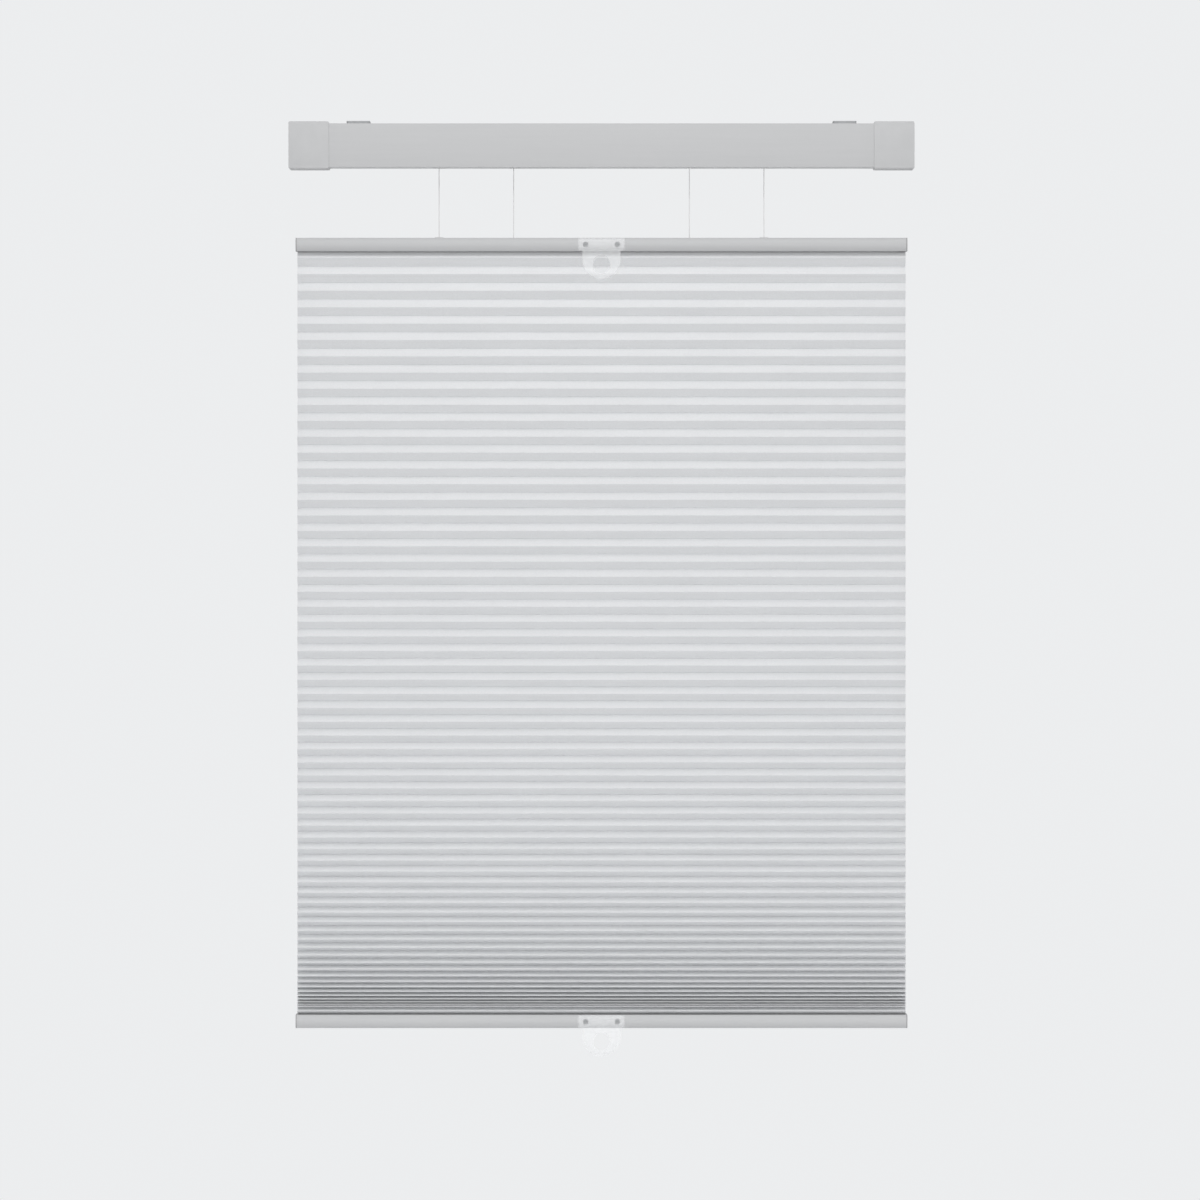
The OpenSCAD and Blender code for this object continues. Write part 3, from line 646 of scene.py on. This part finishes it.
def lift_cord(side, which, rail):
    node = f"cord_{which}_{side}"
    lo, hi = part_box(node)
    spool_lo, spool_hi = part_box(f"spool_{which}_{side}")
    x = (lo.x + hi.x) / 2
    axis = (spool_lo + spool_hi) / 2
    knot_z = lo.z + KNOT_RISE

    run = [(x, 0.0, axis.z + (knot_z - axis.z) * k / RUN_STEPS) for k in range(RUN_STEPS + 1)]
    ob = new_mesh(f"{node}_run", *tube(run, CORD_R, RUN_SIDES), CORD, TUBE_SHARP)
    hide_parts(node)
    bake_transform(ob)

    coil = tube(coil_points(x, axis), CORD_R, COIL_SIDES)
    ob = new_mesh(f"{node}_turns", *coil, CORD, TUBE_SHARP)
    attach(ob, "headrail")

    knot = tube(knot_points(x, knot_z), CORD_R, COIL_SIDES, True)
    ob = new_mesh(f"{node}_knot", *knot, CORD, TUBE_SHARP)
    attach(ob, rail)


for which, rail in (("mid", "middle_rail"), ("low", "bottom_rail")):
    for side in ("left", "right"):
        lift_cord(side, which, rail)

# End caps and clear handles: the CAD forms with softened edges
WELD = 1e-6
FLAT_ANGLE, EDGE_ANGLE, SOFT_SHARP = 0.4, 28, 40
REAR_FACING = 0.3
CAP_BEVEL = 0.0008
HANDLE_BEVEL = 0.00035


def soften(name, body, width, materials):
    """A bevelled copy of a CAD node. Three materials go to its front, its bevels and its rear."""
    bm = bmesh.new()
    bm.from_mesh(nodes[name].data)
    bmesh.ops.remove_doubles(bm, verts=bm.verts, dist=WELD)
    flat = math.radians(FLAT_ANGLE)
    bmesh.ops.dissolve_limit(bm, angle_limit=flat, verts=bm.verts, edges=bm.edges)
    least = math.radians(EDGE_ANGLE)
    edges = [e for e in bm.edges if len(e.link_faces) == 2 and e.calc_face_angle(0) > least]
    made = bmesh.ops.bevel(bm, geom=edges, offset=width, offset_type="OFFSET", segments=2,
                           profile=0.5, affect="EDGES", clamp_overlap=True)
    bevels = set(made["faces"])
    for f in bm.faces:
        if len(materials) > 1:
            f.material_index = 2 if f.normal.y > REAR_FACING else 1 if f in bevels else 0
        f.smooth = True
    bmesh.ops.recalc_face_normals(bm, faces=bm.faces)
    me = bpy.data.meshes.new(f"{name}_soft")
    bm.to_mesh(me)
    bm.free()
    me.set_sharp_from_angle(angle=math.radians(SOFT_SHARP))
    ob = new_object(f"{name}_soft", me, materials)
    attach(ob, body)
    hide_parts(name)
    return ob


def clear_handle(name, body):
    """A clear handle passes light on to what lies behind it, so it casts no shadow."""
    ob = soften(name, body, HANDLE_BEVEL, [CLEAR, CLEAR_EDGE, CLEAR_REAR])
    ob.visible_shadow = False
    ob.visible_diffuse = False


soften("end_cap_left", "headrail", CAP_BEVEL, [CAP])
soften("end_cap_right", "headrail", CAP_BEVEL, [CAP])
clear_handle("middle_handle", "middle_rail")
clear_handle("bottom_handle", "bottom_rail")

# Plain pale floor under the hanging blind, which fades out towards its rim
FLOOR_Z = -1.5
FLOOR_R = 2.4
FLOOR_FADE = 1.1
FLOOR_SIDES = 96


def floor_shade():
    s = Shade("floor_pale", Roughness=0.9, Specular_IOR_Level=0.1)
    s.two_tone(s.noise(even(6), detail=3), grey=0.78, cool=0.01, low=0.99, high=1.01)
    s.bump(s.noise(even(160), detail=2), distance=0.0002)
    away = s.node("ShaderNodeVectorMath", operation="LENGTH")
    s.link(s.coord.outputs["Object"], away.inputs[0])
    s.spread(away.outputs["Value"], 1.0, 0.0, "Alpha", (FLOOR_FADE, FLOOR_R),
             interpolation_type="SMOOTHSTEP")
    return s.mat


def floor():
    turns = [2 * math.pi * k / FLOOR_SIDES for k in range(FLOOR_SIDES)]
    rim = [(FLOOR_R * math.cos(a), FLOOR_R * math.sin(a), 0.0) for a in turns]
    me = bpy.data.meshes.new("floor")
    me.from_pydata(rim, [], [tuple(range(FLOOR_SIDES))])
    ob = new_object("floor", me, [floor_shade()])
    ob.location = (0.0, 0.0, FLOOR_Z)


floor()

# Light: two soft suns, a near strip above the headrail and level fills all round
SUN_DISC = 28
SUN_LEAN = 38
BLIND_MIDDLE = (0.0, 0.0, -0.55)
BELOW_HEADRAIL = (0.0, 0.0, -0.08)


def area(name, place, aim, size, power):
    lamp = bpy.data.lights.new(name, "AREA")
    lamp.shape = "RECTANGLE"
    lamp.size, lamp.size_y = size
    lamp.energy = power
    ob = bpy.data.objects.new(name, lamp)
    ob.location = place
    ob.rotation_euler = (Vector(aim) - Vector(place)).to_track_quat("-Z", "Y").to_euler()
    ob.visible_camera = False
    ob.visible_glossy = False
    scene.collection.objects.link(ob)


def sun(name, power, lean):
    lamp = bpy.data.lights.new(name, "SUN")
    lamp.energy = power
    lamp.angle = math.radians(SUN_DISC)
    ob = bpy.data.objects.new(name, lamp)
    ob.rotation_euler = (math.radians(lean), 0, 0)
    scene.collection.objects.link(ob)


sun("key_above", 0.56, SUN_LEAN)
sun("key_rear", 0.4, -SUN_LEAN)
area("key_near", (0.0, -0.5, 0.55), BELOW_HEADRAIL, (1.3, 0.25), 1.45)
area("fill_front", (0.0, -4.4, -0.45), BLIND_MIDDLE, (3.4, 2.6), 88)
area("fill_left", (-4.4, 0.0, -0.3), BLIND_MIDDLE, (2.6, 2.6), 36)
area("fill_right", (4.4, 0.0, -0.3), BLIND_MIDDLE, (2.6, 2.6), 36)
area("fill_rear", (0.0, 4.4, -0.2), BLIND_MIDDLE, (3.4, 2.6), 98)

# World: graded light, and a plain pale background for the camera, mirrors and clear plastic
BACKGROUND = (0.84, 0.85, 0.86, 1)
WORLD_STRENGTH = 0.34
WORLD_STOPS = ((0.44, (0.65, 0.65, 0.66, 1)), (0.6, (1.0, 1.0, 1.02, 1)))


def light_world():
    world = bpy.data.worlds.new("studio")
    scene.world = world
    world.use_nodes = True
    tree = world.node_tree
    tree.nodes.clear()
    new, link = tree.nodes.new, tree.links.new

    lit = new("ShaderNodeBackground")
    lit.inputs["Strength"].default_value = WORLD_STRENGTH
    coord = new("ShaderNodeTexCoord")
    xyz = new("ShaderNodeSeparateXYZ")
    grade = new("ShaderNodeMapRange")
    grade.inputs["From Min"].default_value = -1.0
    grade.inputs["From Max"].default_value = 1.0
    ramp = new("ShaderNodeValToRGB")
    for element, (pos, col) in zip(ramp.color_ramp.elements, WORLD_STOPS):
        element.position = pos
        element.color = col
    link(coord.outputs["Generated"], xyz.inputs[0])
    link(xyz.outputs["Z"], grade.inputs["Value"])
    link(grade.outputs["Result"], ramp.inputs["Fac"])
    link(ramp.outputs["Color"], lit.inputs["Color"])

    show = new("ShaderNodeBackground")
    show.inputs["Color"].default_value = BACKGROUND
    path = new("ShaderNodeLightPath")
    seen = path.outputs["Is Camera Ray"]
    for ray in ("Is Glossy Ray", "Is Transmission Ray"):
        either = new("ShaderNodeMath")
        either.operation = "MAXIMUM"
        link(seen, either.inputs[0])
        link(path.outputs[ray], either.inputs[1])
        seen = either.outputs[0]
    mix = new("ShaderNodeMixShader")
    link(seen, mix.inputs[0])
    link(lit.outputs[0], mix.inputs[1])
    link(show.outputs[0], mix.inputs[2])
    link(mix.outputs[0], new("ShaderNodeOutputWorld").inputs["Surface"])


light_world()
scene.view_settings.view_transform = "Standard"

# Camera, level, with the photograph's framing
SENSOR = 36.0
LENS = 276.2
SHIFT_X, SHIFT_Y = -0.00125, -0.0588
CAMERA_PLACE = (0.0, -11.0, -0.487)
cam_data = bpy.data.cameras.new("camera")
cam_data.sensor_width = SENSOR
cam_data.lens = LENS
cam_data.shift_x = SHIFT_X
cam_data.shift_y = SHIFT_Y
cam = bpy.data.objects.new("camera", cam_data)
cam.location = CAMERA_PLACE
cam.rotation_euler = (math.pi / 2, 0, 0)
scene.collection.objects.link(cam)
scene.camera = cam
